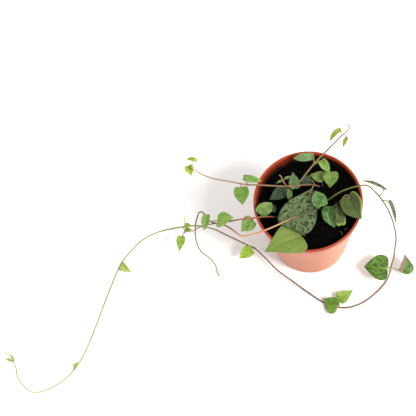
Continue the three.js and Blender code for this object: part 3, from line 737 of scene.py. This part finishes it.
def lathe(profile, steps, shape, slot=0):
    """Adds the surface that a profile of (radius, height) pairs sweeps round the pot's axis."""
    points, rings = [], []
    for radius, height in profile:
        if radius == 0:
            rings.append([len(points)] * steps)
            points.append(Vector((0, 0, height)))
            continue
        rings.append([len(points) + k for k in range(steps)])
        for k in range(steps):
            angle = 2 * math.pi * k / steps
            points.append(Vector((radius * math.cos(angle), radius * math.sin(angle), height)))
    faces = []
    for low, high in zip(rings, rings[1:]):
        for k in range(steps):
            turn = (k + 1) % steps
            corners = [low[k], low[turn], high[turn], high[k]]
            faces.append(tuple(dict.fromkeys(corners)))
    shape.add(points, faces, slot)


def wall_radius(z):
    under_lip = RIM_RADIUS - LIP_WIDTH + WALL
    return FOOT_RADIUS + (under_lip - FOOT_RADIUS) * z / POT_HEIGHT


def arc(centre, radius, start, end, steps):
    angles = (math.radians(start + (end - start) * k / steps) for k in range(steps + 1))
    return [(centre[0] + radius * math.cos(a), centre[1] + radius * math.sin(a)) for a in angles]


def pot():
    """A thin moulded shell with a rolled lip, a stacking step and drain holes in its foot."""
    lip_bottom = POT_HEIGHT - LIP_HEIGHT
    floor_top = FOOT_CHAMFER + 0.4
    outside = [(0, 0.9), (14, 0.9), (15.5, 0), (FOOT_RADIUS - FOOT_CHAMFER, 0)]
    outside += arc((FOOT_RADIUS - FOOT_CHAMFER, FOOT_CHAMFER), FOOT_CHAMFER, -70, -10, 4)
    outside += [(wall_radius(z), z) for z in (6, 12, 20, 30, 40, 50, 60, 70, 78)]
    outside += [(wall_radius(81), 81), (wall_radius(82) + 0.45, 82)]
    outside += [(wall_radius(lip_bottom - 0.6) + 0.2, lip_bottom - 0.6)]
    lip = arc((RIM_RADIUS - 0.7, lip_bottom + 0.7), 0.7, -80, -5, 3)
    lip += arc((RIM_RADIUS - 0.9, POT_HEIGHT - 0.9), 0.9, 5, 85, 5)
    lip += arc((RIM_RADIUS - LIP_WIDTH + 0.6, POT_HEIGHT - 0.6), 0.6, 95, 175, 4)
    inside = [(wall_radius(z) - WALL, z) for z in (lip_bottom - 1, 82, 70, 50, 30, 12, 5)]
    inside += [(wall_radius(3) - WALL - 1, floor_top + 0.4), (wall_radius(2) - WALL - 2.5, floor_top)]
    inside += [(0, floor_top)]
    shape = Shape()
    lathe(outside + lip + inside, POT_STEPS, shape)
    thing = shape.piece("pot", [LOOKS["pot_outside_painted_light"], LOOKS["pot_rim"], LOOKS["pot_inside_painted_shade"]])
    drills = Shape()
    for hole in range(DRAIN_HOLES):
        turn = (hole + 0.5) * 2 * math.pi / DRAIN_HOLES
        centre = Vector((DRAIN_CIRCLE * math.cos(turn), DRAIN_CIRCLE * math.sin(turn), 0))
        tube(drills, [centre + Vector((0, 0, z)) for z in (-2, 4)], [DRAIN_RADIUS] * 2, 28)
    cutter_mesh = bpy.data.meshes.new("drain_drills")
    cutter_mesh.from_pydata([point * MM for point in drills.points], [], drills.faces)
    cutter = bpy.data.objects.new("drain_drills", cutter_mesh)
    bpy.context.scene.collection.objects.link(cutter)
    cut = thing.modifiers.new("drain holes", "BOOLEAN")
    cut.operation, cut.solver, cut.object = "DIFFERENCE", "EXACT", cutter
    bpy.context.view_layer.update()
    shell = bpy.data.meshes.new_from_object(thing.evaluated_get(bpy.context.evaluated_depsgraph_get()))
    thing.modifiers.clear()
    thing.data = shell
    bpy.data.objects.remove(cutter)
    for face in shell.polygons:
        out = face.normal.x * face.center.x + face.normal.y * face.center.y
        if face.center.z > (lip_bottom - 0.3) * MM:
            face.material_index = 1
        elif out < -0.2 * MM or (face.normal.z > 0.5 and face.center.z > MM):
            face.material_index = 2
        else:
            face.material_index = 0
    shell.shade_smooth()
    shell.set_sharp_from_angle(angle=math.radians(50))
    return thing


def soil_height(x, y):
    """The lie of the soil in millimetres: a low crown that leans down to the back left."""
    edge = wall_radius(SOIL_EDGE) - WALL - 0.9
    part = min(math.hypot(x, y) / edge, 1)
    if part < 0.6:
        level = SOIL_MIDDLE - 0.5 * part / 0.6
    else:
        level = SOIL_MIDDLE - 0.5 - (SOIL_MIDDLE - 0.5 - SOIL_EDGE) * (part - 0.6) / 0.4
    return level + SOIL_TILT * (x - y) * math.sqrt(0.5)


def crumb_height(x, y):
    spot = Vector((x, y, 0))
    lumps = noise.noise(spot * 0.11) * 1.3 + noise.noise(spot * 0.3 + Vector((9, 4, 0))) * 1.1
    grit = noise.noise(spot * 0.8) * 0.7 + noise.noise(spot * 1.9) * 0.35
    return lumps + grit


def crumb(shape, centre, size, slot):
    """A little lump of peat or bark: a rounded block with pushed-in corners."""
    ball = bmesh.new()
    bmesh.ops.create_icosphere(ball, subdivisions=1, radius=size)
    stretch = Vector((random.uniform(0.6, 1.5), random.uniform(0.6, 1.3), random.uniform(0.5, 0.9)))
    heading = Matrix.Rotation(random.uniform(0, 6.28), 3, "Z")
    tilt = Matrix.Rotation(random.uniform(-0.6, 0.6), 3, "X")
    turn = heading @ tilt
    points = []
    for vertex in ball.verts:
        rough = 1 + random.uniform(-0.28, 0.28)
        points.append(centre + turn @ (vertex.co * stretch * rough))
    shape.add(points, [tuple(v.index for v in face.verts) for face in ball.faces], slot)
    ball.free()


def fibre(shape, start, heading, length, curl, radius, slot):
    """A curled root or husk fibre lying on the soil."""
    route = []
    for k in range(5):
        heading_now = heading + curl * k
        if k:
            start = start + Vector((math.cos(heading_now), math.sin(heading_now), 0)) * length / 4
        lift = 0.5 + 0.5 * math.sin(math.pi * k / 4)
        route.append(Vector((start.x, start.y, soil_height(start.x, start.y) + lift + 0.6)))
    path = smooth_route(route, 0.8)
    tube(shape, path, [radius] * len(path), 6, slot)


def soil():
    """Peaty soil: a block that fills the pot, with a crumbly top, loose lumps, bark and fibres."""
    shape = Shape()
    bottom = FOOT_CHAMFER + 1.0
    reach = wall_radius(SOIL_EDGE) - WALL - 0.25
    steps, rings = SOIL_STEPS, SOIL_RINGS
    points, faces = [Vector((0, 0, soil_height(0, 0)))], []
    for ring in range(1, rings + 1):
        radius = reach * ring / rings
        for k in range(steps):
            angle = 2 * math.pi * k / steps
            x, y = radius * math.cos(angle), radius * math.sin(angle)
            points.append(Vector((x, y, soil_height(x, y) + crumb_height(x, y))))
    for k in range(steps):
        turn = (k + 1) % steps
        faces.append((0, 1 + k, 1 + turn))
        for ring in range(rings - 1):
            a, b = 1 + ring * steps, 1 + (ring + 1) * steps
            faces.append((a + k, b + k, b + turn, a + turn))
    foot = len(points)
    low = wall_radius(bottom) - WALL - 2.6
    for k in range(steps):
        angle = 2 * math.pi * k / steps
        points.append(Vector((low * math.cos(angle), low * math.sin(angle), bottom)))
    points.append(Vector((0, 0, bottom)))
    rim = foot - steps
    for k in range(steps):
        turn = (k + 1) % steps
        faces.append((rim + k, foot + k, foot + turn, rim + turn))
        faces.append((foot + turn, foot + k, foot + steps))
    shape.add(points, faces)
    for _ in range(CRUMBS):
        radius = (reach - 2) * math.sqrt(random.random())
        angle = random.uniform(0, 2 * math.pi)
        x, y = radius * math.cos(angle), radius * math.sin(angle)
        size = random.uniform(0.35, 1.0) ** 1.6 * 1.25
        centre = Vector((x, y, soil_height(x, y) + crumb_height(x, y) + size * 0.25))
        crumb(shape, centre, size, 1 if random.random() < BARK_CHANCE else 0)
    for _ in range(FIBRES):
        radius, angle = (reach - 8) * math.sqrt(random.random()), random.uniform(0, 2 * math.pi)
        start = Vector((radius * math.cos(angle), radius * math.sin(angle), 0))
        fibre(shape, start, random.uniform(0, 6.28), random.uniform(3, 7), random.uniform(-0.5, 0.5), 0.22, 1)
    for x, y, heading, length, curl in HUSKS:
        fibre(shape, Vector((x, y, 0)), heading, length, curl, 0.4, 2)
    return shape.piece("soil", [LOOKS["soil_dark"], LOOKS["soil_bark"], LOOKS["husk"]])


# ---------------------------------------------------------------- the plant's finishes

LEAF_UNDER = "#7a8660"
LOOKS = {
    "mid_green": leaf_finish("leaf_mid_green", "#5c7f2b", "#3d6018", "#86a050", LEAF_UNDER, 0.5, 0.45),
    "mid_pale": leaf_finish("leaf_mid_pale", "#6a8c3e", "#466a24", "#9db470", LEAF_UNDER, 0.65, 0.5),
    "bright_green": leaf_finish("leaf_bright_green", "#7a9c3a", "#5a8228", "#a8bf6c", LEAF_UNDER, 0.6, 0.45),
    "fresh_green": leaf_finish("leaf_fresh_green", "#7a9a34", "#557a20", "#a5ba62", LEAF_UNDER, 0.5, 0.45),
    "cool_green": leaf_finish("leaf_cool_green", "#76925c", "#56784a", "#a0b68c", LEAF_UNDER, 0.65, 0.5),
    "lime": leaf_finish("leaf_lime", "#a2c63e", "#6c9c26", "#c4de80", "#9cb85c", 0.3, 0.75, 420),
    "pale_lime": leaf_finish("leaf_pale_lime", "#a0ac52", "#74883a", "#c0c878", "#9ca860", 0.35, 0.5),
    "rim_mottled": leaf_finish("leaf_rim_mottled", "#57772e", "#3c5c20", "#96aa68", "#84955a", 0.75, 0.6),
    "shoot_green": leaf_finish("leaf_shoot_green", "#557038", "#385224", "#8ea060", "#6c7c48", 0.5),
    "rim_grey": leaf_finish("leaf_rim_grey", "#44603a", "#2c4426", "#8c9c7c", "#8c9474", 0.7, 0.6),
    "lime_veined": leaf_finish("leaf_lime_veined", "#678a36", "#43691f", "#a3b878", "#84955a", 0.75),
    "back_lime": leaf_finish("leaf_back_lime", "#5c7832", "#40601e", "#8ca460", "#6d7c48", 0.5, 0.5),
    "back_olive": leaf_finish("leaf_back_olive", "#6f8640", "#566228", "#94a45c", "#66703e", 0.35, 0.6),
    "dark_heart": leaf_finish("leaf_dark_heart", "#3c641c", "#1f400c", "#7f9a4c", "#75835a", 0.7, 0.6),
    "marbled_heart": leaf_finish("leaf_marbled_heart", "#3c6428", "#26481a", "#86a46c", "#66754a", 0.75,
                                 0.55),
    "silver": leaf_finish("leaf_silver_blotched", "#5f6b46", "#1c3518", "#7b8860", "#66744c", 0.3, 0.95,
                          360, ("#3c5630", 0.955, 0), spot=(0.08, 0.18, 0.036)),
    "grey_green": leaf_finish("leaf_grey_green", "#56703f", "#38522a", "#8a9a74", "#6a7858", 0.6),
    "plain_olive": leaf_finish("leaf_plain_olive", "#6b8038", "#5e682e", "#7d9048", "#767f4c", 0.3, 0.25),
    # Painted highlight: the pale rim along one edge of this leaf stands for its folded-up margin catching the
    # light.
    "grey_olive": leaf_finish("leaf_grey_olive", "#4b5a2c", "#334624", "#5f7040", "#5c6440", 0.4, 0.45,
                              160, ("#8c9a48", 0.8, -1)),
    "curled_olive": leaf_finish("leaf_curled_olive", "#59613a", "#414c26", "#79784c", "#6f7444", 0.45, 0.4,
                                200, ("#7f9442", 0.8, 0)),
    "young": leaf_finish("leaf_young", "#9aa638", "#78902c", "#b0b868", "#98a24e", 0.35, 0.3),
    "shaded": leaf_finish("leaf_shaded", "#2a4026", "#142614", "#566a4a", "#44503a", 0.7, 0.75, 300),
    "folded": leaf_finish("leaf_folded", "#5a7c38", "#355a20", "#8fa86c", "#aaa48c", 0.7, 0.6),
    "tan_stem": stem_finish("stem_tan", [
        (0.0, "#6a4a34"), (0.25, "#85644a"), (0.7, "#8f7050"), (0.84, "#a89a58"), (0.9, "#d8d488"),
        (1.0, "#e4e29a")]),
    "mauve_stem": stem_finish("stem_mauve", [
        (0.0, "#6a5c38"), (0.3, "#806a48"), (0.5, "#8a6a50"), (0.8, "#936c58"), (0.94, "#a08a58"),
        (1.0, "#8a7a4a")]),
    "long_stem": stem_finish("stem_long_green", [
        (0.0, "#5c6434"), (0.06, "#5d6234"), (0.14, "#5e5f3a"), (0.2, "#66503a"), (0.22, "#8f5f3c"),
        (0.28, "#7a5a3e"), (0.35, "#543624"), (0.42, "#5e4028"), (0.49, "#76603c"), (0.56, "#807c44"),
        (0.62, "#8f9650"), (0.8, "#8f9a4c"), (1.0, "#aab060")]),
    "red_stem": stem_finish("stem_red", [
        (0.0, "#5a4630"), (0.15, "#8a4c32"), (0.22, "#b0604a"), (0.35, "#8a4840"), (0.6, "#6c4434"),
        (0.84, "#8a5a40"), (0.9, "#b8a860"), (1.0, "#d4d468")]),
    # Painted shade: the dark olive shades from the root to about 0.17 of its length, where the stem runs in
    # shade from the soil across the silver leaf.
    "gold_stem": stem_finish("stem_gold", [
        (0.0, "#34381e"), (0.15, "#484a2c"), (0.19, "#9a7848"), (0.27, "#c89862"), (0.31, "#cf7848"),
        (0.35, "#dc9c6c"), (0.41, "#c8906a"), (0.46, "#8c4a34"), (0.6, "#74523a"), (0.73, "#7c5c38"),
        (0.84, "#8a6c3c"), (0.95, "#94743e"), (1.0, "#a0a058")]),
    "shoot_stem": stem_finish("stem_shoot", [(0.0, "#7a5a3c"), (1.0, "#8f7a5c")]),
    "dry_stem": stem_finish("stem_dry", [(0.0, "#4a3826"), (0.7, "#6c5440"), (1.0, "#8c7064")]),
    # The pot is one orange-red plastic in three shades. The outside is painted pale as painted light, the
    # glare of its brightly lit wall, and the inside is painted dark as painted shade.
    "pot_outside_painted_light": plastic_finish("pot_outside_painted_light", "#bb785e", "#c88c74", 0.55, 0.7),
    "pot_rim": plastic_finish("pot_rim", "#963418", "#a8482a", 0.36, 0.3),
    "pot_inside_painted_shade": plastic_finish("pot_inside_painted_shade", "#6e2412", "#5a1e10", 0.5, 0.6, True),
    "soil_dark": soil_finish("soil_peat", "#060504", "#120c08", 0.6),
    "soil_bark": soil_finish("soil_bark_bits", "#1a110a", "#332317", 0.9),
    "husk": soil_finish("soil_husk", "#7a6650", "#9a8a74", 0.9),
}
STALK = stalk_finish("stalk_green", "#6f7a3e", "#86603c")
STALKS = {
    "leaf_right_olive": stalk_finish("stalk_tan", "#8f7a50", "#75552f"),
    "leaf_c_folded": stalk_finish("stalk_pale_tan", "#a8906a", "#8f7050"),
    "leaf_c_big_heart": stalk_finish("stalk_lime", "#7f8f3a", "#9aa050"),
}


# ---------------------------------------------------------------- the plant

random.seed(SEED)
pot()
soil()
for row in STEMS:
    stem(*row)
for row in LEAVES:
    leaf(row[0], row[1], *row[2:])

# ---------------------------------------------------------------- floor, light and camera


def sheet_floor(size):
    mesh = bpy.data.meshes.new("floor")
    corners = [(-size, -size, 0), (size, -size, 0), (size, size, 0), (-size, size, 0)]
    mesh.from_pydata(corners, [], [(0, 1, 2, 3)])
    mesh.materials.append(floor_finish())
    floor = bpy.data.objects.new("floor", mesh)
    bpy.context.scene.collection.objects.link(floor)
    return floor


def lights():
    world = bpy.data.worlds.new("pale_room")
    world.use_nodes = True
    back = world.node_tree.nodes["Background"]
    back.inputs["Color"].default_value = (*ROOM_TINT, 1)
    back.inputs["Strength"].default_value = ROOM_LIGHT
    bpy.context.scene.world = world
    lamp = bpy.data.lights.new("window", "SUN")
    lamp.energy = WINDOW_LIGHT
    lamp.angle = WINDOW_SPREAD
    lamp.color = WINDOW_TINT
    window = bpy.data.objects.new("window", lamp)
    window.rotation_euler = Vector(TO_WINDOW).to_track_quat("Z", "Y").to_euler()
    bpy.context.scene.collection.objects.link(window)


def camera():
    lens = bpy.data.cameras.new("camera")
    lens.lens = LENS_LENGTH
    lens.sensor_width = SENSOR_WIDTH
    lens.clip_end = FARTHEST_SEEN
    eye = bpy.data.objects.new("camera", lens)
    forward = Vector((0, math.cos(CAMERA_DIP), -math.sin(CAMERA_DIP)))
    level = Vector((1, 0, 0))
    upright = level.cross(forward)
    right = level * math.cos(CAMERA_ROLL) + upright * math.sin(CAMERA_ROLL)
    up = upright * math.cos(CAMERA_ROLL) - level * math.sin(CAMERA_ROLL)
    turn = Matrix((right, up, -forward)).transposed().to_4x4()
    eye.matrix_world = Matrix.Translation(CAMERA_PLACE) @ turn
    bpy.context.scene.collection.objects.link(eye)
    bpy.context.scene.camera = eye


sheet_floor(3)
lights()
camera()
bpy.context.scene.view_settings.view_transform = "Standard"

bpy.context.view_layer.update()
